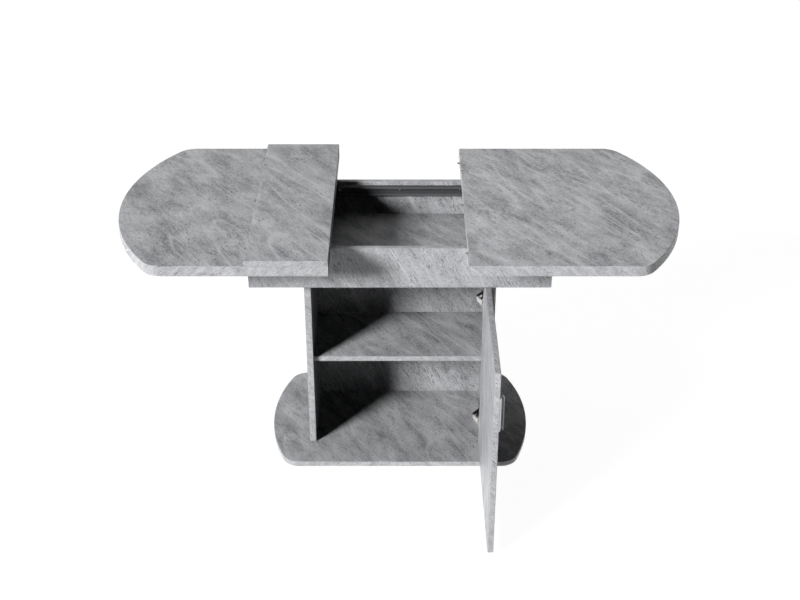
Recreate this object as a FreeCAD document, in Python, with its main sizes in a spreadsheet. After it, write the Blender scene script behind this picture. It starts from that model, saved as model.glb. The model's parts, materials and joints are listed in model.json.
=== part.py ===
import FreeCAD, Part
import os
import re
import Sketcher

# Extending kitchen table on a storage cabinet, in millimetres.
# Origin on the floor under the middle of the base plate, +Z up, the cabinet's front towards -Y.
# Drawn as photographed: top halves pulled apart, leaf lying on the left half, door open square.

# Driving sizes: name, value, what it sets
SIZES = [
    ("glide_height", 3, "floor glides, thickness"),
    ("glide_radius", 15, "floor glides, radius"),
    ("glide_inset", 60, "outer glides, distance in from the base plate's ends"),
    ("glide_corner_inset", 150, "corner glides, distance in from the base plate's ends"),
    ("glide_side_inset", 40, "corner glides, distance in from the long edges"),
    ("base_length", 780, "base plate, left to right"),
    ("base_depth", 479, "base plate, front to back"),
    ("base_thickness", 16, "base plate, thickness"),
    ("base_end_radius", 524, "base plate, radius of the bowed ends"),
    ("base_corner_radius", 53, "base plate, radius of the corners"),
    ("edge_round", 1, "rounding of the visible board edges"),
    ("cabinet_width", 542, "cabinet, outside width"),
    ("cabinet_depth", 276, "cabinet, front to back"),
    ("side_thickness", 19, "side panels, thickness"),
    ("side_height", 581, "side panels, height"),
    ("back_thickness", 4, "hardboard back, thickness"),
    ("rebate_width", 9, "rebate for the back in each side panel"),
    ("shelf_level", 278, "shelf underside above the base plate"),
    ("shelf_gap", 0.5, "shelf front behind the closed door"),
    ("shelf_play", 0.5, "shelf, play at the sides and the back"),
    ("shelf_pin_radius", 2.5, "shelf pins, radius"),
    ("shelf_pin_depth", 10, "shelf pins, length in the panel"),
    ("shelf_pin_reach", 9, "shelf pins, length under the shelf"),
    ("shelf_pin_inset", 40, "shelf pins, distance in from the shelf's front and back"),
    ("board_thickness", 16, "shelf, tray boards and door, thickness"),
    ("tray_length", 832, "tray under the top, left to right"),
    ("tray_depth", 438, "tray under the top, front to back"),
    ("apron_height", 122, "front and back aprons, height"),
    ("end_drop", 5, "tray ends, top edge below the aprons' top edge"),
    ("notch_play", 3, "tray ends, play round the slides"),
    ("running_gap", 1, "gap between the aprons and the sliding top"),
    ("top_length", 601, "each top half, left to right"),
    ("top_depth", 750, "top halves and leaf, front to back"),
    ("top_thickness", 30, "top halves, thickness"),
    ("top_end_radius", 587, "top halves, radius of the bowed end"),
    ("top_corner_radius", 60, "top halves, radius of the corners"),
    ("open_gap", 368, "gap between the pulled top halves"),
    ("open_offset", 2.8, "middle of that gap, left of the cabinet's middle"),
    ("leaf_width", 218, "loose leaf, left to right"),
    ("leaf_thickness", 15, "loose leaf, thickness"),
    ("pin_radius", 3, "alignment pins, radius"),
    ("pin_reach", 8, "alignment pins, length out of the edge"),
    ("pin_depth", 20, "alignment pins, length in the board"),
    ("pin_inset", 88, "outer alignment pins, distance from the board's front and back edges"),
    ("pin_drop", 9, "alignment pins, depth below the top face"),
    ("pin_play", 0.3, "alignment pins, play in the sockets"),
    ("socket_wall", 1, "sockets, wall"),
    ("rail_height", 28.5, "slide rails, height"),
    ("rail_depth", 13, "slide rails, depth"),
    ("rail_steel", 1.5, "slide rails, sheet thickness"),
    ("rail_lip", 6.5, "slide rails, height of the turned lips"),
    ("rail_end_gap", 18, "slide rails, distance from the aprons' ends"),
    ("rail_drop", 12, "slide rails, top below the aprons' top edge"),
    ("slide_length", 380, "sliding members, length"),
    ("slide_setback", 10, "sliding members, distance behind the half's inner edge"),
    ("slide_back_gap", 3, "sliding members, distance from the apron"),
    ("slide_lip_gap", 1.5, "sliding members, distance behind the rails' lips"),
    ("ball_diameter", 3.8, "balls in the slides"),
    ("ball_play", 0.3, "balls, play on each side"),
    ("cage_length", 150, "ball cages, length"),
    ("cage_width", 4, "ball cages, width"),
    ("cage_steel", 0.8, "ball cages, strip thickness"),
    ("bracket_steel", 2, "slide brackets, thickness"),
    ("bracket_gap", 0.5, "slide brackets, distance in front of the rails' lips"),
    ("bracket_foot_play", 1.5, "slide brackets, play of the foot between the rails' lips"),
    ("bracket_width", 40, "slide brackets, width"),
    ("bracket_flange", 30, "slide brackets, flange under the top"),
    ("bracket_inset", 60, "slide brackets, middle from the slide's ends"),
    ("bracket_screw_inset", 8, "bracket screws and rivets, distance from the bracket's sides"),
    ("door_gap", 2.5, "gap all round the closed door"),
    ("open_inset", 1, "open door's outer face inside the right panel's inner face"),
    ("open_reach", 7, "open door's hinge edge in front of the cabinet"),
    ("hinge_inset", 84, "hinges, distance from the door's ends"),
    ("cup_radius", 17.5, "hinge cups, radius of the bore"),
    ("cup_floor", 3.5, "hinge cups, door left behind the bore"),
    ("cup_edge", 5, "hinge cups, distance of the bore from the door's edge"),
    ("cup_wall", 1.2, "hinge cups, wall"),
    ("cup_rim", 2, "hinge cups, width of the rim"),
    ("flange_steel", 1.2, "hinge cups, flange thickness"),
    ("wing_width", 14, "hinge cup wings and hinge plate wings, width"),
    ("wing_height", 58, "hinge cup wings, height"),
    ("wing_screw_inset", 5, "hinge cup screws, distance from the wings' ends"),
    ("pivot_rise", 4.5, "link pivot above the door's inner face"),
    ("pivot_setback", 7, "link pivot behind the door's edge"),
    ("pivot_radius", 1.25, "link pivot pin, radius"),
    ("pivot_play", 0.1, "link pivot, play in the eye"),
    ("lug_radius", 2.6, "pivot lugs, half width"),
    ("lug_inner", 7, "pivot lugs and arm cheeks, half the gap between them"),
    ("lug_steel", 2, "pivot lugs, thickness"),
    ("link_radius", 2.2, "hinge links, half thickness"),
    ("link_half", 6.5, "hinge links, half height"),
    ("nose_setback", 29.5, "hinge arm's nose behind the closed door's edge"),
    ("nose_radius", 3.5, "hinge arm's nose, radius"),
    ("nose_slot", 18, "hinge arm, radius of the slot for the link"),
    ("arm_half", 10, "hinge arms, half height"),
    ("arm_thickness", 8, "hinge arms, thickness"),
    ("arm_bend", 22, "hinge arms, bend behind the closed door's inner face"),
    ("plate_setback", 37, "hinge plates, middle behind the closed door's inner face"),
    ("plate_length", 44, "hinge plates, front to back"),
    ("plate_rise", 5, "hinge plates, height of the ridge"),
    ("plate_ridge_half", 8, "hinge plates, half height of the ridge"),
    ("plate_wing_steel", 2, "hinge plates, wing thickness"),
    ("plate_wing_height", 50, "hinge plates, wing height"),
    ("plate_screw_inset", 7, "hinge plate screws, distance from the wings' ends"),
    ("handle_height", 102, "pull, height"),
    ("handle_drop", 73.5, "pull, distance below the door's top edge"),
    ("handle_depth", 20, "pull, width on the door's face"),
    ("handle_projection", 12, "pull, distance out from the door's face"),
    ("handle_wall", 2.5, "pull, wall"),
    ("handle_lip", 4, "pull, height of the front lip"),
    ("handle_mouth", 8, "pull, distance of the hooked blade behind the door's edge"),
    ("handle_screw_inset", 15, "pull screws, distance from the pull's ends"),
    ("bore_fit", 0.1, "play round screws, nails, dowels and pins in their bores"),
    ("bore_end", 1, "bores, depth past the end of what they hold"),
    ("dowel_radius", 4, "wooden dowels, radius"),
    ("dowel_board", 24, "wooden dowels, length in the tray floor"),
    ("dowel_apron", 11, "wooden dowels, length in the apron"),
    ("dowel_inset", 36, "wooden dowels, end dowels from the tray's ends"),
    ("base_screw_radius", 3.2, "cabinet screws, shank radius"),
    ("base_screw_length", 50, "cabinet screws, length under the head"),
    ("base_screw_head_radius", 5, "cabinet screws, head radius"),
    ("base_screw_head_height", 5, "cabinet screws, head height"),
    ("base_screw_inset", 38, "cabinet screws, distance from the panels' front and back edges"),
    ("tray_screw_radius", 2.5, "tray screws, shank radius"),
    ("tray_screw_length", 40, "tray screws, length under the head"),
    ("tray_screw_head_radius", 4.5, "tray screws, head radius"),
    ("tray_screw_head_height", 4, "tray screws, head height"),
    ("tray_screw_inset", 43, "tray screws, distance from the panels' front and back edges"),
    ("small_screw_radius", 2, "small screws, shank radius"),
    ("small_screw_length", 11, "small screws, length under the head"),
    ("small_screw_head_radius", 3.5, "small screws, head radius"),
    ("small_screw_head_height", 2, "small screws, head height"),
    ("rail_screw_inset", 38, "rail screws, end screws from the rail's ends"),
    ("rail_hole_radius", 2, "spare holes in the rails, radius"),
    ("rail_hole_offset", 54, "spare holes in the rails, distance from each screw"),
    ("rivet_radius", 2, "bracket rivets, radius"),
    ("rivet_head_radius", 3.5, "bracket rivets, head radius"),
    ("rivet_head_height", 1.5, "bracket rivets, head height"),
    ("nail_radius", 0.9, "back panel nails, radius"),
    ("nail_length", 20, "back panel nails, length under the head"),
    ("nail_head_radius", 2.2, "back panel nails, head radius"),
    ("nail_head_height", 0.8, "back panel nails, head height"),
    ("nail_inset", 40, "back panel nails, end nails from the panel's ends"),
]

# Places worked out from the driving sizes
PLACES = [
    ("base_top", "glide_height + base_thickness"),
    ("tray_bottom", "base_top + side_height"),
    ("tray_floor_top", "tray_bottom + board_thickness"),
    ("apron_top", "tray_bottom + apron_height"),
    ("top_bottom", "apron_top + running_gap"),
    ("top_face", "top_bottom + top_thickness"),
    ("left_edge", "-open_gap / 2 - open_offset"),
    ("right_edge", "open_gap / 2 - open_offset"),
    ("cabinet_front", "-cabinet_depth / 2"),
    ("cabinet_back", "cabinet_depth / 2"),
    ("back_face", "cabinet_back - back_thickness"),
    ("inner_half", "cabinet_width / 2 - side_thickness"),
    ("side_middle", "cabinet_width / 2 - side_thickness / 2"),
    ("base_screw_spread", "cabinet_back - base_screw_inset"),
    ("tray_screw_spread", "cabinet_back - tray_screw_inset"),
    ("dowel_pitch", "(tray_length - 2 * dowel_inset) / 4"),
    ("pin_spread", "top_depth / 2 - pin_inset"),
    ("shelf_bottom", "base_top + shelf_level"),
    ("shelf_front", "cabinet_front + board_thickness + shelf_gap"),
    ("shelf_back", "back_face - shelf_play"),
    ("inner_apron", "tray_depth / 2 - board_thickness"),
    ("end_top", "apron_top - end_drop"),
    ("rail_middle", "apron_top - rail_drop - rail_height / 2"),
    ("rail_hollow", "rail_height / 2 - rail_steel"),
    ("slide_half", "rail_hollow - ball_diameter - 2 * ball_play"),
    ("slide_reach", "slide_setback + slide_length / 2"),
    ("ball_level", "(rail_hollow + slide_half) / 2"),
    ("slide_face", "rail_depth - rail_steel - slide_lip_gap"),
    ("ball_line", "(slide_back_gap + slide_face) / 2"),
    ("ball_pitch", "cage_length / 6"),
    ("rail_length", "tray_length - 2 * rail_end_gap"),
    ("rail_screw_pitch", "(rail_length - 2 * rail_screw_inset) / 4"),
    ("bracket_offset", "slide_length / 2 - bracket_inset"),
    ("bracket_screw_offset", "bracket_width / 2 - bracket_screw_inset"),
    ("rivet_length", "bracket_steel + rail_steel"),
    ("bracket_front", "rail_depth + bracket_gap"),
    ("bracket_back", "bracket_front + bracket_steel"),
    ("bracket_foot_half", "rail_height / 2 - rail_lip - bracket_foot_play"),
    ("bracket_screw_line", "inner_apron - bracket_front - bracket_flange * 2 / 3"),
    ("rivet_line", "inner_apron - slide_face - bracket_steel"),
    ("notch_side", "inner_apron - bracket_back - notch_play"),
    ("notch_floor", "rail_middle - rail_height / 2 - notch_play"),
    ("door_width", "2 * (inner_half - door_gap)"),
    ("door_height", "side_height - 2 * door_gap"),
    ("door_bottom", "base_top + door_gap"),
    ("door_top", "door_bottom + door_height"),
    ("door_outer", "inner_half - open_inset"),
    ("door_inner", "door_outer - board_thickness"),
    ("door_edge", "cabinet_front - open_reach"),
    ("door_free", "door_edge - door_width"),
    ("closed_edge", "inner_half - door_gap"),
    ("closed_inner", "cabinet_front + board_thickness"),
    # the door turns a quarter turn about this upright line between closed and open
    ("swing_x", "(door_outer + cabinet_front + closed_edge - door_edge) / 2"),
    ("swing_y", "(door_outer + cabinet_front - closed_edge + door_edge) / 2"),
    ("lower_hinge", "door_bottom + hinge_inset"),
    ("upper_hinge", "door_top - hinge_inset"),
    ("cup_depth", "board_thickness - cup_floor"),
    ("cup_line", "door_edge - cup_edge - cup_radius"),
    ("wing_screw_offset", "wing_height / 2 - wing_screw_inset"),
    ("plate_screw_offset", "plate_wing_height / 2 - plate_screw_inset"),
    ("link_x", "door_inner - pivot_rise"),
    ("link_y", "door_edge - pivot_setback"),
    ("lug_outer", "lug_inner + lug_steel"),
    # the arm's nose lies as far from the link's pivot with the door closed as with it open
    ("nose_x", "closed_edge - nose_setback"),
    ("link_mid_x", "(link_x + closed_edge - pivot_setback) / 2"),
    ("link_mid_y", "(link_y + closed_inner + pivot_rise) / 2"),
    ("nose_y", "swing_y + (nose_x - swing_x) * (link_mid_y - swing_y) / (link_mid_x - swing_x)"),
    ("plate_line", "closed_inner + plate_setback"),
    ("handle_bottom", "door_top - handle_drop - handle_height"),
    ("handle_screw_line", "door_free + handle_depth / 2"),
]

SIZE_NAMES = {name for name, value, note in SIZES}
PLACE_NAMES = {name for name, text in PLACES}
WORD = re.compile(r"[a-z][a-z_]*")

SIDES = (("left", "-"), ("right", ""))
OUTWARD = {"left": "-", "right": "+"}
ROWS = (("front", "-"), ("back", ""))
WAYS = {
    "+x": FreeCAD.Rotation(FreeCAD.Vector(0, 1, 0), 90),
    "-x": FreeCAD.Rotation(FreeCAD.Vector(0, 1, 0), -90),
    "+y": FreeCAD.Rotation(FreeCAD.Vector(1, 0, 0), -90),
    "-y": FreeCAD.Rotation(FreeCAD.Vector(1, 0, 0), 90),
    "+z": FreeCAD.Rotation(),
    "-z": FreeCAD.Rotation(FreeCAD.Vector(1, 0, 0), 180),
}
OPPOSITE = {"+x": "-x", "-x": "+x", "+y": "-y", "-y": "+y", "+z": "-z", "-z": "+z"}

doc = FreeCAD.newDocument("KitchenTable")
sizes = doc.addObject("Spreadsheet::Sheet", "Sizes")
places = doc.addObject("Spreadsheet::Sheet", "Places")
nodes = []


def spelled(text, inside_places=False):
    """Write a formula of size and place names with the sheets that hold them."""
    def spell(match):
        word = match.group(0)
        if word in SIZE_NAMES:
            return "Sizes." + word
        if word in PLACE_NAMES and not inside_places:
            return "Places." + word
        return word
    return WORD.sub(spell, text)


def fill_sheets():
    for row, (name, value, note) in enumerate(SIZES, start=1):
        sizes.set(f"A{row}", name)
        sizes.set(f"B{row}", str(value))
        sizes.set(f"C{row}", note)
        sizes.setAlias(f"B{row}", name)
    doc.recompute()
    for row, (name, text) in enumerate(PLACES, start=1):
        places.set(f"A{row}", name)
        places.set(f"B{row}", "=" + spelled(text, inside_places=True))
        places.setAlias(f"B{row}", name)
    doc.recompute()


def size(name):
    return float(sizes.get(name))


def place(name):
    return float(places.get(name))


def put(piece, at, turn=None):
    """Place a piece, its position bound to the sheets."""
    piece.Placement = FreeCAD.Placement(FreeCAD.Vector(), turn or FreeCAD.Rotation())
    for axis, text in zip("xyz", at):
        piece.setExpression("Placement.Base." + axis, spelled(text))
    return piece


def half_turn(turned):
    return FreeCAD.Rotation(FreeCAD.Vector(0, 0, 1), 180 if turned else 0)


def box(name, sides, at):
    piece = doc.addObject("Part::Box", name)
    for side, text in zip(("Length", "Width", "Height"), sides):
        piece.setExpression(side, spelled(text))
    return put(piece, at)


def rod(name, radius, length, at, way="+z"):
    piece = doc.addObject("Part::Cylinder", name)
    piece.setExpression("Radius", spelled(radius))
    piece.setExpression("Height", spelled(length))
    return put(piece, at, WAYS[way])


def ball(name, radius, at):
    piece = doc.addObject("Part::Sphere", name)
    piece.setExpression("Radius", spelled(radius))
    return put(piece, at)


def fused(name, pieces):
    piece = doc.addObject("Part::MultiFuse", name)
    piece.Shapes = pieces
    return piece


def common(name, pieces):
    piece = doc.addObject("Part::MultiCommon", name)
    piece.Shapes = pieces
    return piece


def grouped(name, pieces):
    piece = doc.addObject("Part::Compound", name)
    piece.Links = pieces
    return piece


def cut(name, base, tools):
    piece = doc.addObject("Part::Cut", name)
    piece.Base = base
    piece.Tool = tools[0] if len(tools) == 1 else grouped(name + "_tools", tools)
    return piece


def rounded(name, base, radius, chosen):
    """Round the chosen edges of a piece."""
    doc.recompute()
    piece = doc.addObject("Part::Fillet", name)
    piece.Base = base
    numbered = enumerate(base.Shape.Edges, start=1)
    piece.Edges = [(number, radius, radius) for number, edge in numbered if chosen(edge)]
    return piece


def upright(edge):
    return edge.BoundBox.ZLength > max(edge.BoundBox.XLength, edge.BoundBox.YLength)


def level(edge):
    return edge.BoundBox.ZLength < size("edge_round") / 10


def every(edge):
    return True


def board(name, sides, at):
    """A rectangular board with its edges eased."""
    blank = box(name + "_blank", sides, at)
    return rounded(name + "_eased", blank, size("edge_round"), every)


def profile(name, plane, corners, length, at, turn=None, middle=True):
    """A bar of constant section: a closed outline of bound corners, padded square to a plane."""
    body = doc.addObject("PartDesign::Body", name)
    support = [item for item in body.Origin.OriginFeatures if item.Role == plane][0]
    sketch = body.newObject("Sketcher::SketchObject", name + "_section")
    sketch.AttachmentSupport = (support, [""])
    sketch.MapMode = "FlatFace"
    count = len(corners)
    start = [FreeCAD.Rotation(FreeCAD.Vector(0, 0, 1), 360 * index / count).multVec(FreeCAD.Vector(1, 0, 0))
             for index in range(count)]
    for index in range(count):
        sketch.addGeometry(Part.LineSegment(start[index], start[(index + 1) % count]), False)
    for index in range(count):
        sketch.addConstraint(Sketcher.Constraint("Coincident", index, 2, (index + 1) % count, 1))
    for index, corner in enumerate(corners):
        across = Sketcher.Constraint("DistanceX", -1, 1, index, 1, start[index].x)
        along = Sketcher.Constraint("DistanceY", -1, 1, index, 1, start[index].y)
        for rule, text in zip((across, along), corner):
            number = sketch.addConstraint(rule)
            sketch.setExpression(f"Constraints[{number}]", spelled(text))
    pad = body.newObject("PartDesign::Pad", name + "_pad")
    pad.Profile = sketch
    pad.Midplane = middle
    pad.setExpression("Length", spelled(length))
    return put(body, at, turn)


def fastener(name, kind, at, way):
    """A headed fastener whose head sits at a point, and the bore for its shank."""
    shank = rod(name + "_shank", f"{kind}_radius", f"{kind}_length", at, way)
    head = rod(name + "_head", f"{kind}_head_radius", f"{kind}_head_height", at, OPPOSITE[way])
    bore = rod(name + "_bore", f"{kind}_radius + bore_fit", f"{kind}_length + bore_end", at, way)
    return [shank, head], bore


def head_bore(name, kind, at, way):
    return rod(name, f"{kind}_head_radius + bore_fit", f"{kind}_head_height", at, OPPOSITE[way])


def fasteners(name, kind, spots, way, sunk=False):
    """A group of like fasteners as one node, and the bores that they need."""
    solids = []
    bores = []
    for number, at in enumerate(spots):
        pieces, bore = fastener(f"{name}_{number}", kind, at, way)
        solids += pieces
        bores.append(bore)
        if sunk:
            bores.append(head_bore(f"{name}_{number}_seat", kind, at, way))
    node(name, fused(name, solids))
    return bores


def node(label, piece):
    """Name a finished sub-part."""
    piece.Label = label
    nodes.append(piece)
    return piece


def make_floor_glides():
    end_x = "base_length / 2 - glide_inset"
    corner_x = "base_length / 2 - glide_corner_inset"
    corner_y = "base_depth / 2 - glide_side_inset"
    spots = [("0", "0")]
    for _, side in SIDES:
        spots.append((f"{side}({end_x})", "0"))
        for _, row in ROWS:
            spots.append((f"{side}({corner_x})", f"{row}({corner_y})"))
    glides = [rod(f"glide_{number}", "glide_radius", "glide_height", (x, y, "0"))
              for number, (x, y) in enumerate(spots)]
    node("floor_glides", grouped("floor_glides", glides))


def make_base_screws():
    spots = []
    for _, side in SIDES:
        for y in ("-base_screw_spread", "0", "base_screw_spread"):
            spots.append((f"{side}side_middle", y, "glide_height + base_screw_head_height"))
    return fasteners("base_screws", "base_screw", spots, "+z", sunk=True)


def make_base_plate(screw_bores):
    """A plate with bowed ends, rounded corners and eased edges."""
    blank = box("base_blank", ("base_length", "base_depth", "base_thickness"),
                ("-base_length / 2", "-base_depth / 2", "glide_height"))
    bows = [rod(f"base_bow_{name}", "base_end_radius", "base_thickness",
                (f"{side}(base_length / 2 - base_end_radius)", "0", "glide_height"))
            for name, side in SIDES]
    outline = common("base_outline", [blank] + bows)
    cornered = rounded("base_cornered", outline, size("base_corner_radius"), upright)
    eased = rounded("base_eased", cornered, size("edge_round"), level)
    node("base_plate", cut("base_plate", eased, screw_bores))


def make_tray_screws():
    """Screws down through the tray floor into the side panels, heads sunk flush."""
    spots = []
    for _, side in SIDES:
        for y in ("-tray_screw_spread", "tray_screw_spread"):
            spots.append((f"{side}side_middle", y, "tray_floor_top - tray_screw_head_height"))
    return fasteners("tray_screws", "tray_screw", spots, "-z", sunk=True)


def make_end_screws():
    """Screws up through the tray floor into the tray ends, heads sunk flush."""
    spots = []
    for _, side in SIDES:
        for y in ("-tray_screw_spread", "tray_screw_spread"):
            spots.append((f"{side}(tray_length / 2 - board_thickness / 2)", y,
                          "tray_bottom + tray_screw_head_height"))
    return fasteners("end_screws", "tray_screw", spots, "+z", sunk=True)


def make_back_panel():
    panel = box("back_blank", ("2 * (inner_half + rebate_width - bore_fit)", "back_thickness", "side_height"),
                ("-(inner_half + rebate_width - bore_fit)", "back_face", "base_top"))
    spots = []
    for _, side in SIDES:
        x = f"{side}(inner_half + rebate_width / 2)"
        for share in ("0", "1 / 4", "1 / 2", "3 / 4", "1"):
            z = f"base_top + nail_inset + (side_height - 2 * nail_inset) * {share}"
            spots.append((x, "cabinet_back", z))
    bores = fasteners("back_panel_nails", "nail", spots, "-y")
    node("back_panel", cut("back_panel", panel, bores))
    return bores


def make_shelf():
    shelf_sides = ("2 * (inner_half - shelf_play)", "shelf_back - shelf_front", "board_thickness")
    shelf = board("shelf", shelf_sides, ("-(inner_half - shelf_play)", "shelf_front", "shelf_bottom"))
    node("shelf", shelf)
    pins = []
    bores = []
    level_z = "shelf_bottom - shelf_pin_radius"
    for name, side in SIDES:
        inward = "+x" if name == "left" else "-x"
        for row, y in (("front", "shelf_front + shelf_pin_inset"), ("back", "shelf_back - shelf_pin_inset")):
            start = (f"{side}(inner_half + shelf_pin_depth)", y, level_z)
            pins.append(rod(f"shelf_pin_{name}_{row}", "shelf_pin_radius",
                            "shelf_pin_depth + shelf_pin_reach", start, inward))
            bores.append(rod(f"shelf_bore_{name}_{row}", "shelf_pin_radius + bore_fit",
                             "shelf_pin_depth", start, inward))
    node("shelf_pins", grouped("shelf_pins", pins))
    return bores


def make_side_panels(bores):
    """Uprights with a rebate for the back, bored for screws, nails, shelf pins and hinge plates."""
    for name, side in SIDES:
        corner = "-cabinet_width / 2" if name == "left" else "inner_half"
        panel = board(f"{name}_side", ("side_thickness", "cabinet_depth", "side_height"),
                      (corner, "cabinet_front", "base_top"))
        rebate_x = "-(inner_half + rebate_width)" if name == "left" else "inner_half"
        rebate = box(f"{name}_rebate", ("rebate_width", "back_thickness", "side_height"),
                     (rebate_x, "back_face", "base_top"))
        node(f"{name}_side_panel", cut(f"{name}_side_panel", panel, [rebate] + bores))


def make_tray(tray_bores, end_bores):
    """Tray floor, which closes the cabinet, aprons dowelled to it, and notched ends."""
    dowels = []
    dowel_bores = []
    for row, side in ROWS:
        outward = "-y" if row == "front" else "+y"
        for step in ("-2", "-1", "0", "1", "2"):
            name = f"dowel_{row}_{len(dowels)}"
            start = (f"dowel_pitch * {step}", f"{side}(inner_apron - dowel_board)",
                     "tray_bottom + board_thickness / 2")
            dowels.append(rod(name, "dowel_radius", "dowel_board + dowel_apron", start, outward))
            dowel_bores.append(rod(name + "_bore", "dowel_radius + bore_fit",
                                   "dowel_board + dowel_apron + bore_end", start, outward))
    node("tray_dowels", grouped("tray_dowels", dowels))
    floor = box("tray_floor_blank", ("tray_length", "2 * inner_apron", "board_thickness"),
                ("-tray_length / 2", "-inner_apron", "tray_bottom"))
    node("tray_floor", cut("tray_floor", floor, tray_bores + end_bores + dowel_bores))
    rail_bores = make_rails()
    for row, start in (("front", "-tray_depth / 2"), ("back", "inner_apron")):
        apron = board(f"{row}_apron_board", ("tray_length", "board_thickness", "apron_height"),
                      ("-tray_length / 2", start, "tray_bottom"))
        node(f"{row}_apron", cut(f"{row}_apron", apron, dowel_bores + rail_bores))
    corners = [("-inner_apron", "tray_floor_top"), ("inner_apron", "tray_floor_top"),
               ("inner_apron", "notch_floor"), ("notch_side", "notch_floor"),
               ("notch_side", "end_top"), ("-notch_side", "end_top"),
               ("-notch_side", "notch_floor"), ("-inner_apron", "notch_floor")]
    for name, side in SIDES:
        end = profile(f"{name}_end_board", "YZ_Plane", corners, "board_thickness",
                      (f"{side}(tray_length / 2 - board_thickness / 2)", "0", "0"))
        node(f"{name}_tray_end", cut(f"{name}_tray_end", end, end_bores))


def make_rails():
    """Fixed slide rails: lipped channels screwed to the inner faces of the aprons."""
    low = "-rail_height / 2"
    high = "rail_height / 2"
    corners = [("0", low), ("rail_depth", low), ("rail_depth", "rail_lip - rail_height / 2"),
               ("rail_depth - rail_steel", "rail_lip - rail_height / 2"),
               ("rail_depth - rail_steel", "-rail_hollow"), ("rail_steel", "-rail_hollow"),
               ("rail_steel", "rail_hollow"), ("rail_depth - rail_steel", "rail_hollow"),
               ("rail_depth - rail_steel", "rail_height / 2 - rail_lip"),
               ("rail_depth", "rail_height / 2 - rail_lip"), ("rail_depth", high), ("0", high)]
    screws = []
    bores = []
    for row, side in ROWS:
        outward = "-y" if row == "front" else "+y"
        rail = profile(f"{row}_channel", "YZ_Plane", corners, "rail_length",
                       ("0", f"{side}inner_apron", "rail_middle"), half_turn(row == "back"))
        row_bores = []
        spare_holes = []
        for step in ("-2", "-1", "0", "1", "2"):
            at = (f"rail_screw_pitch * {step}", f"{side}(inner_apron - rail_steel)", "rail_middle")
            pieces, bore = fastener(f"rail_screw_{row}_{len(row_bores)}", "small_screw", at, outward)
            screws += pieces
            row_bores.append(bore)
            hole_x = f"{at[0]} + rail_hole_offset" if step == "-2" else f"{at[0]} - rail_hole_offset"
            spare_holes.append(rod(f"rail_hole_{row}_{len(row_bores)}", "rail_hole_radius",
                                   "rail_steel + small_screw_length", (hole_x, at[1], at[2]), outward))
        node(f"{row}_rail", cut(f"{row}_rail", rail, row_bores + spare_holes))
        bores += row_bores + spare_holes
    node("rail_screws", fused("rail_screws", screws))
    return bores


def make_slides(name):
    """A half's two sliding members, their brackets, rivets and screws; gives the screws' bores."""
    section = [("slide_face", "-slide_half"), ("slide_face", "slide_half"), ("slide_back_gap", "slide_half"),
               ("slide_back_gap", "slide_half - rail_steel"),
               ("slide_face - rail_steel", "slide_half - rail_steel"),
               ("slide_face - rail_steel", "rail_steel - slide_half"),
               ("slide_back_gap", "rail_steel - slide_half"), ("slide_back_gap", "-slide_half")]
    # each bracket's foot lies on the slide, jogs out between the rail's lips and climbs to the top
    bracket_section = [("slide_face", "-bracket_foot_half"),
                       ("slide_face + bracket_steel", "-bracket_foot_half"),
                       ("slide_face + bracket_steel", "bracket_foot_half - bracket_steel"),
                       ("bracket_back", "bracket_foot_half - bracket_steel"),
                       ("bracket_back", "top_bottom - rail_middle - bracket_steel"),
                       ("bracket_front + bracket_flange", "top_bottom - rail_middle - bracket_steel"),
                       ("bracket_front + bracket_flange", "top_bottom - rail_middle"),
                       ("bracket_front", "top_bottom - rail_middle"),
                       ("bracket_front", "bracket_foot_half"), ("slide_face", "bracket_foot_half")]
    slide_x = f"{name}_edge {OUTWARD[name]} slide_reach"
    brackets = []
    rivets = []
    screws = []
    screw_bores = []
    for row, row_side in ROWS:
        outward = "-y" if row == "front" else "+y"
        turn = half_turn(row == "back")
        slide = profile(f"{name}_{row}_member", "YZ_Plane", section, "slide_length",
                        (slide_x, f"{row_side}inner_apron", "rail_middle"), turn)
        rivet_bores = []
        for shift in ("(-bracket_offset)", "bracket_offset"):
            middle = f"{slide_x} {OUTWARD[name]} {shift}"
            tag = f"{name}_{row}_{len(brackets)}"
            blank = profile(f"bracket_{tag}_blank", "YZ_Plane", bracket_section, "bracket_width",
                            (middle, f"{row_side}inner_apron", "rail_middle"), turn)
            bores = []
            for step in ("- bracket_screw_offset", "+ bracket_screw_offset"):
                rivet_at = (f"{middle} {step}", f"{row_side}rivet_line", "rail_middle - bracket_steel / 2")
                pieces, bore = fastener(f"rivet_{tag}_{len(bores)}", "rivet", rivet_at, outward)
                rivets += pieces
                rivet_bores.append(bore)
                bores.append(bore)
                screw_at = (f"{middle} {step}", f"{row_side}bracket_screw_line", "top_bottom - bracket_steel")
                pieces, bore = fastener(f"bracket_screw_{tag}_{len(bores)}", "small_screw", screw_at, "+z")
                screws += pieces
                screw_bores.append(bore)
                bores.append(bore)
            brackets.append(cut(f"bracket_{tag}", blank, bores))
        node(f"{name}_{row}_slide", cut(f"{name}_{row}_slide", slide, rivet_bores))
    node(f"{name}_slide_brackets", grouped(f"{name}_slide_brackets", brackets))
    node(f"{name}_bracket_rivets", fused(f"{name}_bracket_rivets", rivets))
    node(f"{name}_bracket_screws", fused(f"{name}_bracket_screws", screws))
    return screw_bores


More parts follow.
